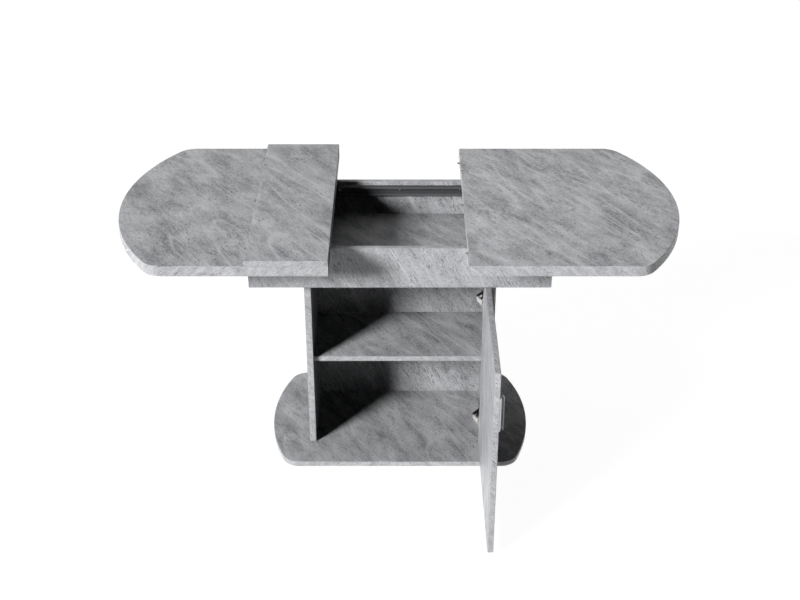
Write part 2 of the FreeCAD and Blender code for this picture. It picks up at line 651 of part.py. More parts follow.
def make_ball_cages(name):
    """Strips of balls above and below each sliding member, midway where it overlaps the rail."""
    outward = OUTWARD[name]
    middle = f"({name}_edge {outward} slide_setback {outward} rail_length / 2) / 2"
    steps = [f"ball_pitch * {half_steps} / 2" for half_steps in (-5, -3, -1, 1, 3, 5)]
    pieces = []
    for row, row_side in ROWS:
        y = f"{row_side}(inner_apron - ball_line)"
        for edge, sign in (("upper", "+"), ("lower", "-")):
            z = f"rail_middle {sign} ball_level"
            tag = f"{name}_{row}_{edge}"
            pieces.append(box(f"cage_{tag}", ("cage_length", "cage_width", "cage_steel"),
                              (f"{middle} - cage_length / 2", f"{y} - cage_width / 2",
                               f"{z} - cage_steel / 2")))
            for number, step in enumerate(steps):
                pieces.append(ball(f"ball_{tag}_{number}", "ball_diameter / 2",
                                   (f"{middle} + {step}", y, z)))
    node(f"{name}_ball_cages", fused(f"{name}_ball_cages", pieces))


def pin_spots(x, z):
    return [(x, y, z) for y in ("-pin_spread", "0", "pin_spread")]


def make_pins(name, x, z, outward):
    """Alignment pins in a board's edge, and their bores."""
    pins = []
    bores = []
    inward = OPPOSITE[outward]
    tip = "pin_reach - pin_radius / 2"
    for number, at in enumerate(pin_spots(x, z)):
        tag = f"{name}_{number}"
        shank = rod(tag + "_shank", "pin_radius", "pin_depth", at, inward)
        shaft = rod(tag + "_shaft", "pin_radius", tip, at, outward)
        sign = "+" if outward == "+x" else "-"
        nose = doc.addObject("Part::Cone", tag + "_tip")
        nose.setExpression("Radius1", spelled("pin_radius"))
        nose.setExpression("Radius2", spelled("pin_radius / 2"))
        nose.setExpression("Height", spelled("pin_radius / 2"))
        put(nose, (f"{x} {sign} ({tip})", at[1], z), WAYS[outward])
        pins += [shank, shaft, nose]
        bores.append(rod(tag + "_bore", "pin_radius + bore_fit", "pin_depth", at, inward))
    node(name, fused(name, pins))
    return bores


def make_sockets(name, x, z, outward):
    """Bushes let into a board's edge for the pins, and their bores."""
    bushes = []
    bores = []
    inward = OPPOSITE[outward]
    for number, at in enumerate(pin_spots(x, z)):
        tag = f"{name}_{number}"
        outer = "pin_radius + pin_play + socket_wall"
        length = "pin_reach + bore_end + socket_wall"
        body = rod(tag + "_body", outer, length, at, inward)
        hollow = rod(tag + "_hollow", "pin_radius + pin_play", "pin_reach + bore_end", at, inward)
        bushes.append(cut(tag, body, [hollow]))
        bores.append(rod(tag + "_bore", outer + " + bore_fit", length, at, inward))
    node(name, grouped(name, bushes))
    return bores


def make_top_half(name, bores):
    """A top half with a bowed outer end, bored for pins or sockets and bracket screws."""
    corner = "right_edge" if name == "right" else "left_edge - top_length"
    blank = box(f"{name}_top_blank", ("top_length", "top_depth", "top_thickness"),
                (corner, "-top_depth / 2", "top_bottom"))
    bow = rod(f"{name}_top_bow", "top_end_radius", "top_thickness",
              (f"{name}_edge {OUTWARD[name]} (top_length - top_end_radius)", "0", "top_bottom"))
    outline = common(f"{name}_top_outline", [blank, bow])
    inner_edge = abs(place(f"{name}_edge")) + size("edge_round")

    def outer_corner(edge):
        return upright(edge) and abs(edge.CenterOfMass.x) > inner_edge

    cornered = rounded(f"{name}_top_cornered", outline, size("top_corner_radius"), outer_corner)
    eased = rounded(f"{name}_top_eased", cornered, size("edge_round"), level)
    node(f"{name}_top", cut(f"{name}_top", eased, bores))


def make_top():
    level_z = "top_face - pin_drop"
    edge_bores = {
        "left": make_sockets("left_sockets", "left_edge", level_z, "+x"),
        "right": make_pins("right_pins", "right_edge", level_z, "-x"),
    }
    for name in edge_bores:
        screw_bores = make_slides(name)
        make_ball_cages(name)
        make_top_half(name, edge_bores[name] + screw_bores)


def make_leaf():
    """The loose leaf, lying on the left half flush with its inner edge."""
    level_z = "top_face + leaf_thickness - pin_drop"
    leaf = board("leaf_board", ("leaf_width", "top_depth", "leaf_thickness"),
                 ("left_edge - leaf_width", "-top_depth / 2", "top_face"))
    bores = make_pins("leaf_pins", "left_edge - leaf_width", level_z, "-x")
    bores += make_sockets("leaf_sockets", "left_edge", level_z, "+x")
    node("leaf", cut("leaf", leaf, bores))


def make_hinge_plates():
    """Mounting plates on the right panel: a ridge between two screwed wings."""
    plates = []
    spots = []
    for name in ("lower", "upper"):
        z = f"{name}_hinge"
        wing = box(f"plate_wing_{name}", ("plate_wing_steel", "wing_width", "plate_wing_height"),
                   ("inner_half - plate_wing_steel", "plate_line - wing_width / 2",
                    f"{z} - plate_wing_height / 2"))
        ridge = box(f"plate_ridge_{name}", ("plate_rise", "plate_length", "2 * plate_ridge_half"),
                    ("inner_half - plate_rise", "plate_line - plate_length / 2", f"{z} - plate_ridge_half"))
        plates.append(fused(f"plate_{name}", [wing, ridge]))
        for step in ("- plate_screw_offset", "+ plate_screw_offset"):
            spots.append(("inner_half - plate_wing_steel", "plate_line", f"{z} {step}"))
    bores = fasteners("hinge_plate_screws", "small_screw", spots, "+x")
    node("hinge_plates", cut("hinge_plates", grouped("hinge_plate_pair", plates), bores))
    return bores


def make_hinge_arms():
    """Cranked arms from the plates to a forked nose beside the cup."""
    nose = FreeCAD.Vector(place("nose_x"), place("nose_y"), 0)
    right_x = place("inner_half") - size("plate_rise")
    left_x = right_x - size("arm_thickness")
    rear_y = place("plate_line") + size("plate_length") / 2
    bend_y = place("closed_inner") + size("arm_bend")
    root = FreeCAD.Vector((left_x + right_x) / 2, bend_y, 0)
    reach = (nose - root).normalize()
    across = FreeCAD.Vector(-reach.y, reach.x, 0) * size("nose_radius")
    quarter = size("arm_thickness") / 4
    outline = [FreeCAD.Vector(right_x, rear_y, 0), FreeCAD.Vector(right_x, bend_y - quarter, 0),
               nose + across, nose - across,
               FreeCAD.Vector(left_x, bend_y + quarter, 0), FreeCAD.Vector(left_x, rear_y, 0)]
    height = FreeCAD.Vector(0, 0, 2 * size("arm_half"))
    arm = Part.Face(Part.makePolygon(outline + outline[:1])).extrude(height)
    arm = arm.fuse(Part.makeCylinder(size("nose_radius"), height.z, nose))
    slot_floor = nose + FreeCAD.Vector(0, 0, size("arm_half") - size("lug_inner"))
    arm = arm.cut(Part.makeCylinder(size("nose_slot"), 2 * size("lug_inner"), slot_floor)).removeSplitter()
    node("hinge_arms", hinge_pair("hinge_arms", arm, size("arm_half")))


def make_hinge_links():
    """Links that turn on the cups' pins and reach to the arms' noses."""
    pivot = FreeCAD.Vector(place("link_x"), place("link_y"), 0)
    nose = FreeCAD.Vector(place("nose_x"), place("nose_y"), 0)
    radius = size("link_radius")
    height = 2 * size("link_half")
    reach = (nose - pivot).normalize()
    across = FreeCAD.Vector(-reach.y, reach.x, 0) * radius
    sides = [pivot + across, nose + across, nose - across, pivot - across]
    link = Part.Face(Part.makePolygon(sides + sides[:1])).extrude(FreeCAD.Vector(0, 0, height))
    link = link.fuse([Part.makeCylinder(radius, height, pivot), Part.makeCylinder(radius, height, nose)])
    eye = Part.makeCylinder(size("pivot_radius") + size("pivot_play"), height, pivot)
    link = link.cut(eye).removeSplitter()
    node("hinge_links", hinge_pair("hinge_links", link, size("link_half")))


def hinge_pair(name, shape, half_height):
    """The same shape at both hinges, centred on their levels."""
    pair = doc.addObject("Part::Feature", name)
    copies = [shape.translated(FreeCAD.Vector(0, 0, place(level_name) - half_height))
              for level_name in ("lower_hinge", "upper_hinge")]
    pair.Shape = Part.makeCompound(copies)
    return pair


def make_hinge_cups():
    """Cups let into the door, with flange, wings and two lugs for the link's pin."""
    cups = []
    pins = []
    spots = []
    bores = []
    for name in ("lower", "upper"):
        z = f"{name}_hinge"
        at_face = ("door_inner", "cup_line", z)
        at_flange = ("door_inner - flange_steel", "cup_line", z)
        shell = rod(f"cup_shell_{name}", "cup_radius - bore_fit", "cup_depth - bore_fit", at_face, "+x")
        rim = rod(f"cup_rim_{name}", "cup_radius + cup_rim", "flange_steel", at_flange, "+x")
        wing = box(f"cup_wing_{name}", ("flange_steel", "wing_width", "wing_height"),
                   ("door_inner - flange_steel", "cup_line - wing_width / 2", f"{z} - wing_height / 2"))
        hollow = rod(f"cup_hollow_{name}", "cup_radius - cup_wall",
                     "flange_steel + cup_depth - cup_wall", at_flange, "+x")
        cup = cut(f"cup_{name}", fused(f"cup_blank_{name}", [shell, rim, wing]), [hollow])
        lugs = [box(f"cup_lug_{name}_{edge}", ("pivot_rise + lug_radius", "2 * lug_radius", "lug_steel"),
                    ("link_x - lug_radius", "link_y - lug_radius", f"{z} {start}"))
                for edge, start in (("below", "- lug_outer"), ("above", "+ lug_inner"))]
        pin_at = ("link_x", "link_y", f"{z} - lug_outer")
        pins.append(rod(f"link_pin_{name}", "pivot_radius", "2 * lug_outer", pin_at))
        eye = rod(f"lug_eye_{name}", "pivot_radius + bore_fit / 2", "2 * lug_outer", pin_at)
        cups.append(cut(f"cup_lugged_{name}", fused(f"cup_whole_{name}", [cup] + lugs), [eye]))
        bores.append(rod(f"cup_bore_{name}", "cup_radius", "cup_depth", at_face, "+x"))
        for step in ("- wing_screw_offset", "+ wing_screw_offset"):
            spots.append(("door_inner - flange_steel", "cup_line", f"{z} {step}"))
    screw_bores = fasteners("hinge_cup_screws", "small_screw", spots, "+x")
    node("hinge_cups", cut("hinge_cups", grouped("hinge_cup_pair", cups), screw_bores))
    node("hinge_pins", grouped("hinge_pins", pins))
    return bores + screw_bores


def make_handle():
    """A hooked pull along the door's free edge, screwed through its base."""
    corners = [("0", "0"), ("handle_lip", "0"), ("handle_lip", "handle_wall"), ("handle_wall", "handle_wall"),
               ("handle_wall", "handle_depth - handle_wall"),
               ("handle_projection - handle_wall", "handle_depth - handle_wall"),
               ("handle_projection - handle_wall", "handle_mouth"), ("handle_projection", "handle_mouth"),
               ("handle_projection", "handle_depth"), ("0", "handle_depth")]
    blank = profile("handle_blank", "XY_Plane", corners, "handle_height",
                    ("door_outer", "door_free", "handle_bottom"), middle=False)
    heights = ("handle_bottom + handle_screw_inset", "handle_bottom + handle_height - handle_screw_inset")
    spots = [("door_outer + handle_wall", "handle_screw_line", z) for z in heights]
    bores = fasteners("handle_screws", "small_screw", spots, "-x")
    node("handle", cut("handle", blank, bores))
    return bores


def make_door():
    """The inset door, drawn open, bored for the cups and the screws."""
    bores = make_hinge_cups() + make_handle()
    door = board("door_board", ("board_thickness", "door_width", "door_height"),
                 ("door_inner", "door_free", "door_bottom"))
    node("door", cut("door", door, bores))


def check_document():
    doc.recompute()
    failed = [item.Name for item in doc.Objects if "Invalid" in item.State or "Error" in item.State]
    if failed:
        raise RuntimeError("failed objects: " + ", ".join(failed))
    for piece in nodes:
        if piece.Shape.isNull() or not piece.Shape.isValid() or not piece.Shape.Solids:
            raise RuntimeError("bad shape: " + piece.Label)


def write_parts():
    os.makedirs("parts", exist_ok=True)
    for piece in nodes:
        piece.Shape.exportStep(os.path.join("parts", piece.Label + ".step"))
        print(piece.Label, len(piece.Shape.Solids), "solids,", round(piece.Shape.Volume / 1000, 2), "cm3")


fill_sheets()
make_floor_glides()
base_bores = make_base_screws()
make_base_plate(base_bores)
tray_bores = make_tray_screws()
end_bores = make_end_screws()
nail_bores = make_back_panel()
shelf_bores = make_shelf()
plate_bores = make_hinge_plates()
make_side_panels(base_bores + tray_bores + nail_bores + shelf_bores + plate_bores)
make_tray(tray_bores, end_bores)
make_top()
make_leaf()
make_hinge_arms()
make_hinge_links()
make_door()
check_document()
write_parts()
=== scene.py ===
import json
import math

import bmesh
import bpy
from mathutils import Matrix, Vector

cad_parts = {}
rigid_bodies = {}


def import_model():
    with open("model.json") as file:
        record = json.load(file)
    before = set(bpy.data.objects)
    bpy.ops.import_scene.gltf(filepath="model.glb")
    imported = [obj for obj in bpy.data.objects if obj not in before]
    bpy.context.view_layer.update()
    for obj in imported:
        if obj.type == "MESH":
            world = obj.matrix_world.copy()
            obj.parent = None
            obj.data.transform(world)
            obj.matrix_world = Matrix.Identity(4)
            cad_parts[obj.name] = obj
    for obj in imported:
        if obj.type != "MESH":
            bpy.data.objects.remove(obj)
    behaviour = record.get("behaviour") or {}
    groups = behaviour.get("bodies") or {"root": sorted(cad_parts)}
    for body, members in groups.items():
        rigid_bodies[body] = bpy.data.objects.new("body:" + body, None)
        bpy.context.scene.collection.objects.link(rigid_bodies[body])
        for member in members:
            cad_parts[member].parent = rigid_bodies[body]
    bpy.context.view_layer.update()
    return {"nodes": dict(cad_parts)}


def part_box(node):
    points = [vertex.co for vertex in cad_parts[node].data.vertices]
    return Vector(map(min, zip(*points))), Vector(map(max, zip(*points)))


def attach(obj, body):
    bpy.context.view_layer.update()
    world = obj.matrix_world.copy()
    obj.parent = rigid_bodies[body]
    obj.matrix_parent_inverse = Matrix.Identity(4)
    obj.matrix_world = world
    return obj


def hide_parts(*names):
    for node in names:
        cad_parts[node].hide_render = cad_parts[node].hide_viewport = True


bl_info = {
    "name": "Extending Kitchen Table",
    "version": (1, 0, 0),
    "blender": (4, 5, 0),
    "location": "View3D > Sidebar > Table",
    "description": "Stone laminate boards, edge bands, slides, hinges and pull of an extending table",
    "category": "Object",
}

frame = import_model()
NODES = frame["nodes"]
MM = 0.001

# a full-frame sensor's width
SENSOR_WIDTH_MM = 36.0

# the ways that a face or a screw's head can look
RIGHT = Vector((1, 0, 0))
LEFT = Vector((-1, 0, 0))
BACK = Vector((0, 1, 0))
FRONT = Vector((0, -1, 0))
UP = Vector((0, 0, 1))
DOWN = Vector((0, 0, -1))

# the table's two halves and its two rows of slides
HALVES = ("left", "right")
ROWS = ("front", "back")

# boards by the way they lie
LEVEL_BOARDS = ("left_top", "right_top", "leaf", "base_plate", "shelf", "tray_floor")
FACING_BOARDS = ("front_apron", "back_apron", "back_panel")
SIDE_BOARDS = ("left_side_panel", "right_side_panel", "left_tray_end", "right_tray_end", "door")

# each laminate's boards, the way their faces look, the run of the print's streaks, and the weights of its
# clouds and of its mottling
LAMINATES = {
    "stone laminate, level boards": (LEVEL_BOARDS, UP, Vector((0.53, -0.85, 0)), 0.87, 0.55),
    "stone laminate, front and back boards":
        (FACING_BOARDS, FRONT, Vector((0.45, 0, -0.89)), 0.5075, 0.425),
    "stone laminate, side boards": (SIDE_BOARDS, LEFT, UP, 0.5075, 0.425),
}

# boards that show a banded edge, with the way the banded edges face; None is all round
BANDED_BOARDS = {
    "left_top": None, "right_top": None, "leaf": None, "base_plate": None, "door": None,
    "front_apron": None, "back_apron": None, "shelf": FRONT, "left_side_panel": FRONT,
    "right_side_panel": FRONT,
}

# headed fasteners with a cross recess, and the way their heads face; None is towards the table's middle
CROSS_HEADS = {
    "handle_screws": RIGHT, "hinge_cup_screws": LEFT, "hinge_plate_screws": LEFT, "rail_screws": None,
    "left_bracket_screws": DOWN, "right_bracket_screws": DOWN, "base_screws": DOWN, "tray_screws": UP,
    "end_screws": DOWN,
}
DOME_HEADS = {"left_bracket_rivets": None, "right_bracket_rivets": None, "back_panel_nails": BACK}
STEEL_LEFT_PLAIN = ("shelf_pins", "hinge_pins", "left_ball_cages", "right_ball_cages")
ALIGNMENT_PINS = ("right_pins", "leaf_pins")

# the print is a solid pattern, and each board shows a slice of it from somewhere in this depth
SLICE_SPREAD = 57.0
# a surface turned away from the board's faces beyond this cosine shows the edge band's print
EDGE_COSINE = 0.7
# the middle about which every noise swings
NOISE_MIDDLE = 0.5
# weights of the print's streaks and of its grain
STREAK_WEIGHT = 0.45
GRAIN_WEIGHT = 0.95
# an edge band shows this share of the clouds' swing, on this ground tone; the ground lies above the clouds'
# middle, so the edge bands come out lighter than the faces as painted light
BAND_CLOUD_SHARE = 0.2
BAND_GROUND_PAINTED_LIGHTER = 0.45
# the tones at which the print has its dark, middle and light colour
DARK_TONE = 0.12
MIDDLE_TONE = 0.50
LIGHT_TONE = 0.92
# a vein's half width as a height of its noise, and how far it covers the ground
VEIN_HALF_WIDTH = 0.02
VEIN_COVER = 0.4
# heights of the pits' noise at which they start and are full, how far they cover, and the clusters' share
PIT_START = 0.79
PIT_FULL = 0.89
PIT_COVER = 0.75
CLUSTER_SHARE = 0.3
# plated steel's roughness runs between these shares of its given value, with the spangle
SPANGLE_SMOOTH = 0.7
SPANGLE_ROUGH = 1.4

# vertices that are nearer than this are one
WELD_GAP = 0.002 * MM
# facets that turn less than this belong to one flat face
FLAT_TURN = math.radians(1)
# edges that turn more than this are drawn sharp
SHARP_TURN = math.radians(35)
# on metal and plastic, edges that turn more than this are rounded
EASED_TURN = math.radians(40)
# a face looks a way where the cosine between them is over this
FACING_COSINE = 0.5
# a board's broad faces lie square to its thickness to within this cosine
BROAD_COSINE = 0.9
# a face that is nearer than this to a board's farthest reach is on its outside
REACH_SLACK = 0.05 * MM

# facets round a fastener's head, and the turn from ring to ring of its crown
ROUND_STEPS = 32
CROWN_STEP_DEGREES = 15
# a head takes at most this share of its fastener's length, and its rim this share of the head's height
HEAD_SHARE = 0.25
RIM_SHARE = 0.45
# a shank is at most this share of the head's radius, and its tip this share of the shank's
SHANK_SHARE = 0.6
TIP_SHARE = 0.6
# a cross recess: reach and half width of its arms in head radii, and its floor in head heights
RECESS_REACH = 0.62
RECESS_HALF = 0.13
RECESS_FLOOR = 0.35
# places of the hinges' adjusting screws, as shares of the plates' length from their back ends
ADJUSTER_PLACES = (0.2, 0.6)

# the floor's half width in metres, and its cells each way
FLOOR_HALF = 30.0
FLOOR_CELLS = 8
# the paper's own glow, and its share against the light that falls on it
PAPER_GLOW = 1.1
PAPER_GLOW_SHARE = 0.88
# sines of the climb up to which the backdrop is white and from which it is dim, and its strength there
WHITE_BELOW = 0.25
DIM_ABOVE = 0.6
DIM_STRENGTH = 0.1
# the lamps shine as from far off, wherever they stand; they are kept clear of the table
LAMP_DISTANCE = 5.0


def linear(hex_code):
    """A colour given as sRGB hex, as linear red, green, blue and alpha."""
    channels = [int(hex_code[start:start + 2], 16) / 255 for start in (0, 2, 4)]
    return tuple(c / 12.92 if c <= 0.04045 else ((c + 0.055) / 1.055) ** 2.4 for c in channels) + (1.0,)


def colour(name, description, hex_code):
    return bpy.props.FloatVectorProperty(name=name, description=description, subtype="COLOR", size=4,
                                         min=0.0, max=1.0, default=linear(hex_code))


def length(name, description, millimetres):
    return bpy.props.FloatProperty(name=name, description=description, subtype="DISTANCE", unit="LENGTH",
                                   min=0.0, default=millimetres * MM)


def angle(name, description, degrees):
    return bpy.props.FloatProperty(name=name, description=description, subtype="ANGLE", unit="ROTATION",
                                   default=math.radians(degrees))


def number(name, description, default):
    return bpy.props.FloatProperty(name=name, description=description, min=0.0, default=default)


class StoneFinish(bpy.types.PropertyGroup):
    """Colours and pattern sizes of the stone print on the laminate."""
    dark: colour("Cloud", "Darkest clouds of the print", "808286")
    middle: colour("Ground", "Ground colour of the print", "B9BABD")
    light: colour("Bloom", "Lightest parts of the print", "DCDDE0")
    pit: colour("Pit", "Short dark pits and hair lines", "4C4E52")
    vein: colour("Vein", "Pale veins", "E3E4E6")
    cloud_length: length("Cloud length", "Clouds along the streaks", 150)
    cloud_width: length("Cloud width", "Clouds across the streaks", 65)
    mottle_length: length("Mottle length", "Mottling along the streaks", 48)
    mottle_width: length("Mottle width", "Mottling across the streaks", 22)
    streak_length: length("Streak length", "Streaks along their run", 36)
    streak_width: length("Streak width", "Streaks across their run", 4.5)
    grain_length: length("Grain length", "Fine grain along the streaks", 6)
    grain_width: length("Grain width", "Fine grain across the streaks", 4)
    pit_length: length("Pit length", "Pits along the streaks", 19)
    pit_width: length("Pit width", "Pits across the streaks", 3)
    cluster_size: length("Cluster size", "Patches in which the pits lie thicker", 110)
    vein_length: length("Vein length", "Spacing of the veins along the streaks", 900)
    vein_width: length("Vein width", "Spacing of the veins across the streaks", 170)


class MetalFinish(bpy.types.PropertyGroup):
    """Colours of the metal, plastic and wooden small parts."""
    zinc: colour("Zinc", "Zinc-plated steel", "B9BCBF")
    rail: colour("Rail", "Dark coated steel of the rails", "6C6D70")
    # painted shade: the colour the rails' coat takes deep in the recess, where shade falls
    grease: colour("Grease", "Greased inside of the rails", "4E4F52")
    nickel: colour("Nickel", "Nickel-plated hinge steel", "CDCBC8")
    satin: colour("Satin nickel", "Satin nickel of hinge links and cups", "E2E1DF")
    pin: colour("Dull nickel", "Dull nickel of the alignment pins", "96979A")
    aluminium: colour("Aluminium", "Satin anodised aluminium of the pull", "BEC0C3")
    plastic: colour("Plastic", "Moulded plastic of glides and sockets", "55565A")
    beech: colour("Beech", "Beech dowels", "C9A777")


class TrimSizes(bpy.types.PropertyGroup):
    """Sizes of what is added to the boards and the ironmongery."""
    board_ease: length("Board ease", "Rounding of the boards' outer rims", 2)
    band_stand: length("Band stand", "Edge band proud of the board", 0.1)
    band_thickness: length("Band thickness", "Edge band thickness", 0.3)
    metal_ease: length("Metal ease", "Rounding of pressed metal edges", 0.35)
    rail_hollow: length("Rail hollow", "Depth of the rails from lip to web", 10)
    pull_ease: length("Pull ease", "Rounding of the pull's edges", 0.5)
    glide_ease: length("Glide ease", "Rounding of the glides", 0.8)
    head_height: length("Head height", "Height of screw heads over their seat", 2)
    shank_radius: length("Shank radius", "Radius of screw shanks", 2)
    arm_thickness: length("Arm thickness", "Hinge arms over their plates", 8)
    adjuster_radius: length("Adjuster radius", "Radius of the hinge arms' adjusting screws", 3.2)


class StudioSettings(bpy.types.PropertyGroup):
    """Camera and light of the photograph."""
    lens: number("Lens", "Focal length in millimetres", 60.0)
    distance: length("Distance", "Camera in front of the table's middle", 3399.7)
    height: length("Height", "Camera above the floor", 2420.4)
    pitch: angle("Pitch", "Camera's downward tilt", 30.313)
    key_strength: number("Key", "Strength of the key light", 3.85)
    key_spread: angle("Key spread", "Width of the key light as seen from the table", 15)
    key_azimuth: angle("Key azimuth", "Key light to the left of the front", 46)
    key_elevation: angle("Key elevation", "Key light above the floor", 24.5)
    top_strength: number("Top light", "Strength of the soft top light", 0.57)
    top_spread: angle("Top spread", "Width of the top light as seen from the table", 80)
    top_azimuth: angle("Top azimuth", "Top light to the left of the front", 140)
    top_elevation: angle("Top elevation", "Top light above the floor", 60)
    floor_strength: number("Floor light", "Strength of the light off the floor", 1.2)
    floor_spread: angle("Floor spread", "Width of the light off the floor as seen from the table", 180)
    paper: colour("Paper", "Paper of the floor", "F7F7F7")


# a Mix node's sockets share their names, so they go by number: 0 is the factor, and the two to mix are
# 2 and 3 for numbers, 4 and 5 for vectors, 6 and 7 for colours; the results are 0, 1 and 2 in that order
def add(tree, kind, settings, inputs):
    """Add a node with its settings; an input takes a value or another node's output."""
    node = tree.nodes.new(kind)
    for name, value in settings.items():
        setattr(node, name, value)
    for key, value in inputs.items():
        if isinstance(value, bpy.types.NodeSocket):
            tree.links.new(value, node.inputs[key])
        else:
            node.inputs[key].default_value = value
    return node


def blank_material(name):
    """A new material, with its node tree and its shader."""
    material = bpy.data.materials.new(name)
    material.use_nodes = True
    shader = material.node_tree.nodes["Principled BSDF"]
    return material, material.node_tree, shader


def print_place(tree, face, run):
    """Where a spot of a board lies in the print, and one where it is on the board's edge.

    face is the way the board's faces look, and run the way of the streaks. On a board's edges the print
    runs askew along the edge, as on a printed edge band.
    """
    where = add(tree, "ShaderNodeTexCoord", {}, {})
    spot = where.outputs["Object"]
    board = add(tree, "ShaderNodeObjectInfo", {}, {})
    depth = add(tree, "ShaderNodeMath", {"operation": "MULTIPLY"},
                {0: board.outputs["Random"], 1: SLICE_SPREAD}).outputs[0]

    # going round a convex outline, one folded coordinate falls as the other grows
    first, second = [axis for axis in range(3) if abs(face[axis]) < FACING_COSINE]
    outline = Vector((0, 0, 0))
    outline[first] = 1
    outline[second] = -1
    folded = add(tree, "ShaderNodeVectorMath", {"operation": "ABSOLUTE"}, {0: spot}).outputs["Vector"]
    reach = {}
    for name, vector, way in (
            ("along", spot, run),
            ("across", spot, face.cross(run)),
            ("round", folded, outline),
            ("up", spot, face),
            ("turned", where.outputs["Normal"], face)):
        reach[name] = add(tree, "ShaderNodeVectorMath", {"operation": "DOT_PRODUCT"},
                          {0: vector, 1: way}).outputs["Value"]

    askew = [add(tree, "ShaderNodeMath", {"operation": operation},
                 {0: reach["round"], 1: reach["up"]}).outputs[0] for operation in ("SUBTRACT", "ADD")]
    on_face = add(tree, "ShaderNodeCombineXYZ", {}, {0: reach["along"], 1: reach["across"], 2: depth})
    on_edge = add(tree, "ShaderNodeCombineXYZ", {}, {0: askew[0], 1: askew[1], 2: depth})
    squareness = add(tree, "ShaderNodeMath", {"operation": "ABSOLUTE"}, {0: reach["turned"]})
    is_edge = add(tree, "ShaderNodeMath", {"operation": "LESS_THAN"},
                  {0: squareness.outputs[0], 1: EDGE_COSINE}).outputs[0]
    point = add(tree, "ShaderNodeMix", {"data_type": "VECTOR"},
                {0: is_edge, 4: on_face.outputs[0], 5: on_edge.outputs[0]}).outputs[1]
    return point, is_edge


def print_layers(tree, point, is_edge, finish):
    """The noises that make up the print, by name."""
    layers = {}
    for layer, size_along, size_across, detail, warp in (
            ("cloud", finish.cloud_length, finish.cloud_width, 1.0, 0.4),
            ("mottle", finish.mottle_length, finish.mottle_width, 1.0, 0.3),
            ("streak", finish.streak_length, finish.streak_width, 2.0, 0.2),
            ("grain", finish.grain_length, finish.grain_width, 2.0, 0.0),
            ("pit", finish.pit_length, finish.pit_width, 1.0, 0.3),
            ("cluster", finish.cluster_size, finish.cluster_size, 1.0, 0.0),
            ("vein", finish.vein_length, finish.vein_width, 2.0, 0.5)):
        stretched = add(tree, "ShaderNodeVectorMath", {"operation": "MULTIPLY"},
                        {0: point, 1: (1 / size_along, 1 / size_across, 1.0)})
        layers[layer] = add(tree, "ShaderNodeTexNoise", {},
                            {"Vector": stretched.outputs[0], "Scale": 1.0, "Detail": detail,
                             "Roughness": 0.6, "Distortion": warp}).outputs["Fac"]
    # an edge band shows less of the clouds, on a lighter ground that is painted light on the edges
    band_clouds_painted_lighter = add(tree, "ShaderNodeMath", {"operation": "MULTIPLY_ADD"},
               {0: layers["cloud"], 1: BAND_CLOUD_SHARE, 2: BAND_GROUND_PAINTED_LIGHTER})
    layers["cloud"] = add(tree, "ShaderNodeMix", {},
                          {0: is_edge, 2: layers["cloud"], 3: band_clouds_painted_lighter.outputs[0]}).outputs[0]
    return layers


def print_ground(tree, layers, weights, finish):
    """The print's ground colour; a layer's weight sets how much of the tone it carries."""
    tone = NOISE_MIDDLE - sum(weights.values()) * NOISE_MIDDLE
    for layer, weight in weights.items():
        tone = add(tree, "ShaderNodeMath", {"operation": "MULTIPLY_ADD"},
                   {0: layers[layer], 1: weight, 2: tone}).outputs[0]
    ramp = add(tree, "ShaderNodeValToRGB", {}, {"Fac": tone})
    stops = ramp.color_ramp.elements
    stops[0].position = DARK_TONE
    stops[0].color = finish.dark
    stops[1].position = LIGHT_TONE
    stops[1].color = finish.light
    stops.new(MIDDLE_TONE).color = finish.middle
    return ramp.outputs["Color"]


def vein_cover(tree, layers):
    """How far pale veins cover the ground; they follow the level lines of a broad noise."""
    ridge = add(tree, "ShaderNodeMath", {"operation": "SUBTRACT"}, {0: layers["vein"], 1: NOISE_MIDDLE})
    height = add(tree, "ShaderNodeMath", {"operation": "ABSOLUTE"}, {0: ridge.outputs[0]})
    return add(tree, "ShaderNodeMapRange", {"interpolation_type": "SMOOTHSTEP"},
               {"Value": height.outputs[0], "From Min": 0.0, "From Max": VEIN_HALF_WIDTH,
                "To Min": VEIN_COVER, "To Max": 0.0}).outputs["Result"]


def pit_cover(tree, layers):
    """How far dark pits cover the ground; they lie thicker in some places than in others."""
    height = add(tree, "ShaderNodeMath", {"operation": "MULTIPLY_ADD"},
                 {0: layers["cluster"], 1: CLUSTER_SHARE, 2: layers["pit"]})
    return add(tree, "ShaderNodeMapRange", {"interpolation_type": "SMOOTHSTEP"},
               {"Value": height.outputs[0], "From Min": PIT_START, "From Max": PIT_FULL,
                "To Min": 0.0, "To Max": PIT_COVER}).outputs["Result"]


def stone_laminate(name, face, run, cloud_weight, mottle_weight):
    """Printed stone decor under melamine, pressed on chipboard: satin, with shallow pits that catch light."""
    finish = bpy.context.scene.table_stone
    material, tree, shader = blank_material(name)
    point, is_edge = print_place(tree, face, run)
    layers = print_layers(tree, point, is_edge, finish)
    weights = {"cloud": cloud_weight, "mottle": mottle_weight, "streak": STREAK_WEIGHT, "grain": GRAIN_WEIGHT}
    tint = print_ground(tree, layers, weights, finish)
    pits = pit_cover(tree, layers)
    for cover, shade in ((vein_cover(tree, layers), finish.vein), (pits, finish.pit)):
        tint = add(tree, "ShaderNodeMix", {"data_type": "RGBA"}, {0: cover, 6: tint, 7: shade}).outputs[2]
    tree.links.new(tint, shader.inputs["Base Color"])

    shader.inputs["Specular IOR Level"].default_value = 0.22
    gloss = add(tree, "ShaderNodeMapRange", {}, {"Value": layers["streak"], "To Min": 0.38, "To Max": 0.56})
    tree.links.new(gloss.outputs["Result"], shader.inputs["Roughness"])
    bump = add(tree, "ShaderNodeBump", {"invert": True},
               {"Strength": 0.25, "Distance": 0.3 * MM, "Height": pits})
    tree.links.new(bump.outputs["Normal"], shader.inputs["Normal"])
    return material


